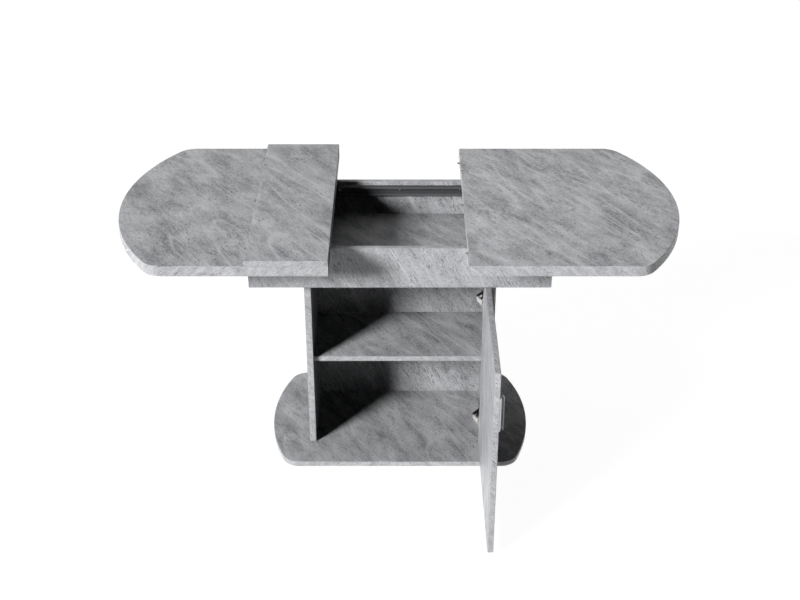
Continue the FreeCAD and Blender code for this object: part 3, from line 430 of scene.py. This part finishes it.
def speckle(tree, shader, base, grain_mm, detail, share):
    """Break up a surface's base colour with a fine noise; its grain is given along X, Y and Z."""
    where = add(tree, "ShaderNodeTexCoord", {}, {})
    stretched = add(tree, "ShaderNodeVectorMath", {"operation": "MULTIPLY"},
                    {0: where.outputs["Object"], 1: [1 / (size * MM) for size in grain_mm]})
    noise = add(tree, "ShaderNodeTexNoise", {},
                {"Vector": stretched.outputs[0], "Scale": 1.0, "Detail": detail})
    shade = add(tree, "ShaderNodeMix", {"data_type": "RGBA", "blend_type": "MULTIPLY"},
                {0: share, 6: base, 7: noise.outputs["Color"]})
    tree.links.new(shade.outputs[2], shader.inputs["Base Color"])
    return noise


def plated_steel(name, base, roughness, spangle_mm):
    """Electroplated steel: a metal with faint cloudy spangle in its gloss."""
    material, tree, shader = blank_material(name)
    shader.inputs["Metallic"].default_value = 1.0
    spangle = speckle(tree, shader, base, grain_mm=[spangle_mm] * 3, detail=3.0, share=0.25)
    gloss = add(tree, "ShaderNodeMapRange", {},
                {"Value": spangle.outputs["Fac"], "To Min": roughness * SPANGLE_SMOOTH,
                 "To Max": roughness * SPANGLE_ROUGH})
    tree.links.new(gloss.outputs["Result"], shader.inputs["Roughness"])
    return material


def steel_with_painted_recess_shade(name, metal, trim):
    """Dark coated channel steel: dull lips, and painted shade that darkens the coat from the lips back to the
    web inside the recess.
    """
    material, tree, shader = blank_material(name)
    shader.inputs["Roughness"].default_value = 0.45
    low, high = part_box("back_rail")
    web = max(abs(low.y), abs(high.y))
    where = add(tree, "ShaderNodeTexCoord", {}, {})
    parts = add(tree, "ShaderNodeSeparateXYZ", {}, {0: where.outputs["Object"]})
    outward = add(tree, "ShaderNodeMath", {"operation": "ABSOLUTE"}, {0: parts.outputs["Y"]})
    # painted shade: the coat darkens from the lips back to the web, across the rail_hollow depth
    recess_shade_share = add(tree, "ShaderNodeMapRange", {},
               {"Value": outward.outputs[0], "From Min": web - trim.rail_hollow, "From Max": web})
    coat_with_painted_shade = add(tree, "ShaderNodeMix", {"data_type": "RGBA"},
                 {0: recess_shade_share.outputs["Result"], 6: metal.rail, 7: metal.grease})
    # a coat's peel is about 0.4 mm; it is drawn at 1.2 mm so that it shows
    peel = speckle(tree, shader, coat_with_painted_shade.outputs[2], grain_mm=(1.2, 1.2, 1.2), detail=2.0, share=0.25)
    bump = add(tree, "ShaderNodeBump", {},
               {"Strength": 0.3, "Distance": 0.05 * MM, "Height": peel.outputs["Fac"]})
    tree.links.new(bump.outputs["Normal"], shader.inputs["Normal"])
    return material


def satin_metal(name, base):
    """Blasted metal under a matt skin, anodised or plated: it scatters most light, with a soft gloss."""
    material, tree, shader = blank_material(name)
    shader.inputs["Metallic"].default_value = 0.15
    # the blasted dimples are about 0.1 mm; they are drawn at 1 mm so that they show
    dimples = speckle(tree, shader, base, grain_mm=(1.0, 1.0, 1.0), detail=2.0, share=0.2)
    gloss = add(tree, "ShaderNodeMapRange", {},
                {"Value": dimples.outputs["Fac"], "To Min": 0.34, "To Max": 0.5})
    tree.links.new(gloss.outputs["Result"], shader.inputs["Roughness"])
    return material


def moulded_plastic(name, base):
    """Injection-moulded plastic with a fine spark-eroded grain: dull, with a soft sheen."""
    material, tree, shader = blank_material(name)
    shader.inputs["Roughness"].default_value = 0.55
    # the eroded grain is about 0.2 mm; it is drawn at 0.8 mm so that it shows
    grain = speckle(tree, shader, base, grain_mm=(0.8, 0.8, 0.8), detail=2.0, share=0.2)
    bump = add(tree, "ShaderNodeBump", {},
               {"Strength": 0.4, "Distance": 0.05 * MM, "Height": grain.outputs["Fac"]})
    tree.links.new(bump.outputs["Normal"], shader.inputs["Normal"])
    return material


def turned_beech(name, base):
    """Turned beech: pale, with short darker flecks along the grain."""
    material, tree, shader = blank_material(name)
    shader.inputs["Roughness"].default_value = 0.6
    speckle(tree, shader, base, grain_mm=(0.7, 6, 0.7), detail=3.0, share=0.4)
    return material


def ready_material(name, make, **details):
    """A material by name, made the first time that it is asked for."""
    return bpy.data.materials.get(name) or make(name, **details)


def laminate_for(node):
    """The stone laminate of a board."""
    for name, (boards, face, run, cloud_weight, mottle_weight) in LAMINATES.items():
        if node in boards:
            return ready_material(name, stone_laminate, face=face, run=run.normalized(),
                                  cloud_weight=cloud_weight, mottle_weight=mottle_weight)
    raise RuntimeError("no laminate for " + node)


def zinc():
    return ready_material("zinc-plated steel", plated_steel, base=bpy.context.scene.table_metal.zinc,
                          roughness=0.34, spangle_mm=3.0)


def nickel():
    return ready_material("nickel-plated steel", plated_steel, base=bpy.context.scene.table_metal.nickel,
                          roughness=0.2, spangle_mm=6.0)


def satin_nickel():
    return ready_material("satin nickel", satin_metal, base=bpy.context.scene.table_metal.satin)


def dress(node, material):
    """Give a node's own mesh a material."""
    for slot in NODES[node].material_slots:
        slot.material = material


def body_of(node):
    """The name of the body that a node rides on."""
    return NODES[node].parent.name.split(":", 1)[1]


def welded(node):
    """A node's mesh with its seams closed, as a bmesh."""
    mesh = bmesh.new()
    mesh.from_mesh(NODES[node].data)
    bmesh.ops.remove_doubles(mesh, verts=mesh.verts, dist=WELD_GAP)
    return mesh


def flat_faced(node):
    """A node's mesh with its seams closed and the facets of each flat face joined, as a bmesh."""
    mesh = welded(node)
    bmesh.ops.dissolve_limit(mesh, angle_limit=FLAT_TURN, verts=mesh.verts, edges=mesh.edges)
    return mesh


def new_object(name, mesh):
    """Turn a bmesh into an object of the scene."""
    data = bpy.data.meshes.new(name)
    mesh.to_mesh(data)
    mesh.free()
    item = bpy.data.objects.new(name, data)
    bpy.context.scene.collection.objects.link(item)
    return item


def new_piece(name, mesh, material, body):
    """Turn a bmesh into a piece that rides on a body."""
    piece = new_object(name, mesh)
    # normals that came with the node's mesh are wrong once the shape is altered
    stored_normals = piece.data.attributes.get("custom_normal")
    if stored_normals:
        piece.data.attributes.remove(stored_normals)
    piece.data.shade_smooth()
    piece.data.set_sharp_from_angle(angle=SHARP_TURN)
    piece.data.materials.append(material)
    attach(piece, body)
    return piece


def piece_for(node, ending, mesh, material):
    """A piece on a node's own body and slot, named after the node."""
    return new_piece(node + ending, mesh, material, body_of(node))


def add_modifier(piece, kind, **settings):
    """Give a piece a modifier with its settings."""
    modifier = piece.modifiers.new(kind.lower(), kind)
    for name, value in settings.items():
        setattr(modifier, name, value)


def eased_copy(node, material, ease):
    """A node's shape with its sharp edges rounded, in place of the node."""
    piece = piece_for(node, "_eased", flat_faced(node), material)
    add_modifier(piece, "BEVEL", width=ease, segments=2, limit_method="ANGLE", angle_limit=EASED_TURN,
                 harden_normals=True)
    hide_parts(node)


def solids(node):
    """The lowest and highest corner of each separate solid of a node, in order of place."""
    mesh = welded(node)
    waiting = set(mesh.verts)
    boxes = []
    while waiting:
        stack = [waiting.pop()]
        found = list(stack)
        while stack:
            for edge in stack.pop().link_edges:
                for vert in edge.verts:
                    if vert in waiting:
                        waiting.remove(vert)
                        stack.append(vert)
                        found.append(vert)
        corners = [vert.co for vert in found]
        low = Vector(min(co[axis] for co in corners) for axis in range(3))
        high = Vector(max(co[axis] for co in corners) for axis in range(3))
        boxes.append((low, high))
    mesh.free()
    return sorted(boxes, key=lambda box: tuple(box[0]))


def lathe(profile):
    """A bmesh turned about Z from a profile of radius and height pairs."""
    mesh = bmesh.new()
    verts = [mesh.verts.new((radius, 0, height)) for radius, height in profile]
    edges = [mesh.edges.new(pair) for pair in zip(verts, verts[1:])]
    bmesh.ops.spin(mesh, geom=verts + edges, cent=(0, 0, 0), axis=UP, angle=math.tau, steps=ROUND_STEPS,
                   use_duplicate=False)
    bmesh.ops.remove_doubles(mesh, verts=mesh.verts, dist=WELD_GAP)
    bmesh.ops.recalc_face_normals(mesh, faces=mesh.faces)
    return mesh


def headed_pin(radius, head_height, shank_radius, shank_length, recessed):
    """A screw, rivet or nail along Z with its seat at the origin, and a cross recess where asked."""
    turns = [math.radians(degrees) for degrees in range(0, 90, CROWN_STEP_DEGREES)]
    crown = [(radius * math.cos(turn), head_height * (RIM_SHARE + (1 - RIM_SHARE) * math.sin(turn)))
             for turn in turns]
    profile = [(0, -shank_length), (shank_radius * TIP_SHARE, -shank_length),
               (shank_radius, -shank_length + shank_radius), (shank_radius, 0), (radius, 0)]
    mesh = lathe(profile + crown + [(0, head_height)])
    if recessed:
        return cross_cut(mesh, radius, head_height)
    return mesh


def cross_cut(mesh, radius, head_height):
    """Cut a cross recess into a screw head."""
    reach = radius * RECESS_REACH
    half = radius * RECESS_HALF
    floor = head_height * RECESS_FLOOR
    cutter = bmesh.new()
    for across, along in ((reach, half), (half, reach)):
        block = bmesh.ops.create_cube(cutter, size=1.0)["verts"]
        bmesh.ops.scale(cutter, vec=(2 * across, 2 * along, 2 * head_height), verts=block)
        bmesh.ops.translate(cutter, vec=(0, 0, floor + head_height), verts=block)
    head = new_object("recess_head", mesh)
    tool = new_object("recess_cutter", cutter)
    # the cutter's two arms cross each other, which use_self allows
    add_modifier(head, "BOOLEAN", object=tool, operation="DIFFERENCE", solver="EXACT", use_self=True)
    bpy.context.view_layer.update()
    cut = bmesh.new()
    cut.from_object(head, bpy.context.evaluated_depsgraph_get())
    for item in (head, tool):
        data = item.data
        bpy.data.objects.remove(item)
        bpy.data.meshes.remove(data)
    return cut


def set_pin(group, pin, seat, way):
    """Move a pin into a group, with its head's seat at that place and its head facing that way."""
    turn = way.to_track_quat("Z", "Y").to_matrix().to_4x4()
    pin.transform(Matrix.Translation(seat) @ turn)
    data = bpy.data.meshes.new("pin")
    pin.to_mesh(data)
    pin.free()
    group.from_mesh(data)
    bpy.data.meshes.remove(data)


def headed_group(node, facing, recessed):
    """Detailed heads and shanks for a group of fasteners, in place of its node."""
    trim = bpy.context.scene.table_trim
    group = bmesh.new()
    for low, high in solids(node):
        middle = (low + high) / 2
        way = facing or (FRONT if middle.y > 0 else BACK)
        axis = max(range(3), key=lambda index: abs(way[index]))
        sizes = high - low
        radius = max(sizes[index] for index in range(3) if index != axis) / 2
        head_height = min(trim.head_height, sizes[axis] * HEAD_SHARE)
        shank_radius = min(trim.shank_radius, radius * SHANK_SHARE)
        pin = headed_pin(radius, head_height, shank_radius, sizes[axis] - head_height, recessed)
        set_pin(group, pin, middle + way * (sizes[axis] / 2 - head_height), way)
    piece = piece_for(node, "_heads", group, zinc())
    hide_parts(node)


def thin_axis(node):
    """The axis along which a board is thinnest."""
    low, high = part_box(node)
    return min(range(3), key=lambda axis: high[axis] - low[axis])


def outside_edge(mesh, node, facing):
    """The faces on a board's outside edge, all round or only where they face that way."""
    thin = thin_axis(node)
    corners = [vert.co.copy() for vert in mesh.verts]
    found = set()
    for face in mesh.faces:
        if abs(face.normal[thin]) > FACING_COSINE:
            continue
        if facing is not None and face.normal.dot(facing) < FACING_COSINE:
            continue
        reach = max(face.normal.dot(co) for co in corners)
        if face.normal.dot(face.calc_center_median()) > reach - REACH_SLACK:
            found.add(face)
    if not found:
        raise RuntimeError("no outside edge on " + node)
    return found


class TABLE_OT_boards(bpy.types.Operator):
    """Give every board its stone laminate, with the print running as it was cut, and ease outer rims"""
    bl_idname = "table.boards"
    bl_label = "Laminate boards"

    def execute(self, context):
        for node in LEVEL_BOARDS + FACING_BOARDS + SIDE_BOARDS:
            dress(node, laminate_for(node))
        for node, facing in BANDED_BOARDS.items():
            self.ease_rims(node, facing, context.scene.table_trim.board_ease)
        return {"FINISHED"}

    def ease_rims(self, node, facing, ease):
        """Round the rims between a board's broad faces and its outside edge."""
        mesh = flat_faced(node)
        outside = outside_edge(mesh, node, facing)
        thin = thin_axis(node)
        weight = mesh.edges.layers.float.new("bevel_weight_edge")
        for edge in mesh.edges:
            outer = [face in outside for face in edge.link_faces]
            broad = [abs(face.normal[thin]) > BROAD_COSINE for face in edge.link_faces]
            if any(outer) and any(broad):
                edge[weight] = 1.0
        piece = piece_for(node, "_eased", mesh, laminate_for(node))
        add_modifier(piece, "BEVEL", width=ease, segments=3, limit_method="WEIGHT", harden_normals=True)
        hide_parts(node)


class TABLE_OT_edge_bands(bpy.types.Operator):
    """Band the boards' visible edges, between their rounded rims, with a thin strip a little proud"""
    bl_idname = "table.edge_bands"
    bl_label = "Edge bands"

    def execute(self, context):
        trim = context.scene.table_trim
        for node, facing in BANDED_BOARDS.items():
            mesh = welded(node)
            strip = outside_edge(mesh, node, facing)
            bmesh.ops.delete(mesh, geom=[face for face in mesh.faces if face not in strip], context="FACES")
            mesh.normal_update()
            low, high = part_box(node)
            thin = thin_axis(node)
            lowest = low[thin] + trim.board_ease
            highest = high[thin] - trim.board_ease
            for vert, shift in [(vert, vert.normal * trim.band_stand) for vert in mesh.verts]:
                vert.co += shift
                vert.co[thin] = min(max(vert.co[thin], lowest), highest)
            piece = piece_for(node, "_edge_band", mesh, laminate_for(node))
            add_modifier(piece, "SOLIDIFY", thickness=trim.band_thickness, offset=-1.0)
        return {"FINISHED"}


class TABLE_OT_slides(bpy.types.Operator):
    """Coat the rails, plate the sliding members and brackets, ease their edges, and finish the plain steel"""
    bl_idname = "table.slides"
    bl_label = "Slides"

    def execute(self, context):
        metal = context.scene.table_metal
        trim = context.scene.table_trim
        # the rails' coat carries painted shade in its recess
        coat = ready_material("greased dark steel", steel_with_painted_recess_shade, metal=metal, trim=trim)
        for row in ROWS:
            eased_copy(row + "_rail", coat, trim.metal_ease)
            for half in HALVES:
                eased_copy(f"{half}_{row}_slide", zinc(), trim.metal_ease)
        for half in HALVES:
            eased_copy(half + "_slide_brackets", zinc(), trim.metal_ease)
        for node in STEEL_LEFT_PLAIN:
            dress(node, zinc())
        pin_finish = ready_material("dull nickel", satin_metal, base=metal.pin)
        for node in ALIGNMENT_PINS:
            dress(node, pin_finish)
        return {"FINISHED"}


class TABLE_OT_fasteners(bpy.types.Operator):
    """Screws with cross recesses, domed rivets and nails, plastic sockets and glides, and beech dowels"""
    bl_idname = "table.fasteners"
    bl_label = "Fasteners"

    def execute(self, context):
        metal = context.scene.table_metal
        for node, facing in CROSS_HEADS.items():
            headed_group(node, facing, recessed=True)
        for node, facing in DOME_HEADS.items():
            headed_group(node, facing, recessed=False)
        plastic = ready_material("moulded plastic", moulded_plastic, base=metal.plastic)
        for node in ("left_sockets", "leaf_sockets"):
            dress(node, plastic)
        eased_copy("floor_glides", plastic, context.scene.table_trim.glide_ease)
        dress("tray_dowels", ready_material("turned beech", turned_beech, base=metal.beech))
        return {"FINISHED"}


class TABLE_OT_hinges(bpy.types.Operator):
    """Nickel-plated cup hinges with eased edges and adjusting screws on their arms"""
    bl_idname = "table.hinges"
    bl_label = "Hinges"

    def execute(self, context):
        trim = context.scene.table_trim
        for node in ("hinge_plates", "hinge_arms"):
            eased_copy(node, nickel(), trim.metal_ease)
        for node in ("hinge_links", "hinge_cups"):
            eased_copy(node, satin_nickel(), trim.metal_ease)
        self.add_adjusters(trim)
        return {"FINISHED"}

    def add_adjusters(self, trim):
        """Adjusting screws on the outer faces of the hinge arms."""
        plate_low, plate_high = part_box("hinge_plates")
        arm_face = plate_low.x - trim.arm_thickness
        group = bmesh.new()
        for low, high in solids("hinge_arms"):
            for share in ADJUSTER_PLACES:
                y = plate_high.y + (plate_low.y - plate_high.y) * share
                pin = headed_pin(trim.adjuster_radius, trim.head_height / 2, trim.shank_radius,
                                 trim.head_height, recessed=True)
                set_pin(group, pin, Vector((arm_face, y, (low.z + high.z) / 2)), LEFT)
        new_piece("hinge_adjusters", group, zinc(), body_of("hinge_arms"))


class TABLE_OT_pull(bpy.types.Operator):
    """The hooked pull in satin aluminium, with eased edges"""
    bl_idname = "table.pull"
    bl_label = "Pull"

    def execute(self, context):
        anodised = ready_material("satin aluminium", satin_metal, base=context.scene.table_metal.aluminium)
        eased_copy("handle", anodised, context.scene.table_trim.pull_ease)
        return {"FINISHED"}


def seen_directly(tree):
    """One for what is seen straight, mirrored or through glass, and nought for light on matt boards."""
    path = add(tree, "ShaderNodeLightPath", {}, {})
    share = path.outputs["Is Camera Ray"]
    for kind in ("Is Glossy Ray", "Is Transmission Ray"):
        share = add(tree, "ShaderNodeMath", {"operation": "ADD", "use_clamp": True},
                    {0: share, 1: path.outputs[kind]}).outputs[0]
    return share


class TABLE_OT_studio(bpy.types.Operator):
    """White paper floor, white backdrop, lamps from front left, above and below, and the camera"""
    bl_idname = "table.studio"
    bl_label = "Studio"

    def execute(self, context):
        scene = context.scene
        studio = scene.table_studio
        self.lay_floor(studio)
        self.light_sky(scene)
        self.set_lamps(scene, studio)
        self.set_camera(scene, studio)
        scene.view_settings.view_transform = "Standard"
        return {"FINISHED"}

    def lay_floor(self, studio):
        """White paper that glows by itself and takes a faint shadow."""
        material, tree, shader = blank_material("white paper")
        shader.inputs["Base Color"].default_value = studio.paper
        shader.inputs["Roughness"].default_value = 0.9
        glow = add(tree, "ShaderNodeEmission", {}, {"Color": (1, 1, 1, 1), "Strength": PAPER_GLOW})
        white = add(tree, "ShaderNodeMixShader", {},
                    {0: PAPER_GLOW_SHARE, 1: shader.outputs["BSDF"], 2: glow.outputs["Emission"]})
        tree.links.new(white.outputs[0], tree.nodes["Material Output"].inputs["Surface"])
        mesh = bmesh.new()
        bmesh.ops.create_grid(mesh, x_segments=FLOOR_CELLS, y_segments=FLOOR_CELLS, size=FLOOR_HALF)
        floor = new_object("floor", mesh)
        floor.data.materials.append(material)
        floor.visible_diffuse = False
        floor.visible_shadow = False

    def light_sky(self, scene):
        """A white backdrop to the eye and to polished metal, dim overhead; lamps light the matt boards."""
        world = bpy.data.worlds.new("white backdrop")
        world.use_nodes = True
        tree = world.node_tree
        way = add(tree, "ShaderNodeTexCoord", {}, {})
        parts = add(tree, "ShaderNodeSeparateXYZ", {}, {0: way.outputs["Generated"]})
        height = add(tree, "ShaderNodeMapRange", {"interpolation_type": "SMOOTHSTEP"},
                     {"Value": parts.outputs["Z"], "From Min": WHITE_BELOW, "From Max": DIM_ABOVE,
                      "To Min": 1.0, "To Max": DIM_STRENGTH})
        seen = add(tree, "ShaderNodeMath", {"operation": "MULTIPLY"},
                   {0: seen_directly(tree), 1: height.outputs["Result"]})
        backdrop = tree.nodes["Background"]
        backdrop.inputs["Color"].default_value = (1, 1, 1, 1)
        tree.links.new(seen.outputs[0], backdrop.inputs["Strength"])
        scene.world = world

    def add_lamp(self, scene, name, strength, spread, towards):
        """A lamp far off that way; its light is not passed on from board to board."""
        lamp = bpy.data.lights.new(name, "SUN")
        lamp.angle = spread
        lamp.energy = strength
        lamp.cycles.max_bounces = 0
        # a wide lamp that stray rays can also find would still pass its light on
        lamp.cycles.use_multiple_importance_sampling = False
        holder = bpy.data.objects.new(name, lamp)
        holder.location = towards * LAMP_DISTANCE
        holder.rotation_euler = towards.to_track_quat("Z", "Y").to_euler()
        scene.collection.objects.link(holder)

    def set_lamps(self, scene, studio):
        straight_below = -math.pi / 2
        for name, strength, spread, azimuth, elevation in (
                ("key", studio.key_strength, studio.key_spread, studio.key_azimuth, studio.key_elevation),
                ("top light", studio.top_strength, studio.top_spread, studio.top_azimuth,
                 studio.top_elevation),
                ("floor light", studio.floor_strength, studio.floor_spread, 0.0, straight_below)):
            level = math.cos(elevation)
            towards = Vector((-math.sin(azimuth) * level, -math.cos(azimuth) * level, math.sin(elevation)))
            self.add_lamp(scene, name, strength, spread, towards)

    def set_camera(self, scene, studio):
        data = bpy.data.cameras.new("camera")
        data.sensor_width = SENSOR_WIDTH_MM
        data.lens = studio.lens
        camera = bpy.data.objects.new("camera", data)
        camera.location = (0, -studio.distance, studio.height)
        camera.rotation_euler = (math.pi / 2 - studio.pitch, 0, 0)
        scene.collection.objects.link(camera)
        scene.camera = camera


class TABLE_PT_sidebar(bpy.types.Panel):
    """The table's operators and settings"""
    bl_idname = "TABLE_PT_sidebar"
    bl_label = "Extending Table"
    bl_space_type = "VIEW_3D"
    bl_region_type = "UI"
    bl_category = "Table"

    def draw(self, context):
        for operator in OPERATORS:
            self.layout.operator(operator.bl_idname)
        for name in SETTINGS:
            group = getattr(context.scene, name)
            column = self.layout.column()
            for prop in group.bl_rna.properties:
                if not prop.is_readonly and prop.identifier != "name":
                    column.prop(group, prop.identifier)


OPERATORS = (TABLE_OT_boards, TABLE_OT_edge_bands, TABLE_OT_slides, TABLE_OT_fasteners, TABLE_OT_hinges,
             TABLE_OT_pull, TABLE_OT_studio)
SETTINGS = {"table_stone": StoneFinish, "table_metal": MetalFinish, "table_trim": TrimSizes,
            "table_studio": StudioSettings}


def register():
    for group in SETTINGS.values():
        bpy.utils.register_class(group)
    for name, group in SETTINGS.items():
        setattr(bpy.types.Scene, name, bpy.props.PointerProperty(type=group))
    for item in OPERATORS + (TABLE_PT_sidebar,):
        bpy.utils.register_class(item)


def unregister():
    for item in reversed(OPERATORS + (TABLE_PT_sidebar,)):
        bpy.utils.unregister_class(item)
    for name, group in SETTINGS.items():
        delattr(bpy.types.Scene, name)
        bpy.utils.unregister_class(group)


def main():
    register()
    bpy.ops.table.boards()
    bpy.ops.table.edge_bands()
    bpy.ops.table.slides()
    bpy.ops.table.fasteners()
    bpy.ops.table.hinges()
    bpy.ops.table.pull()
    bpy.ops.table.studio()


if __name__ == "__main__":
    main()
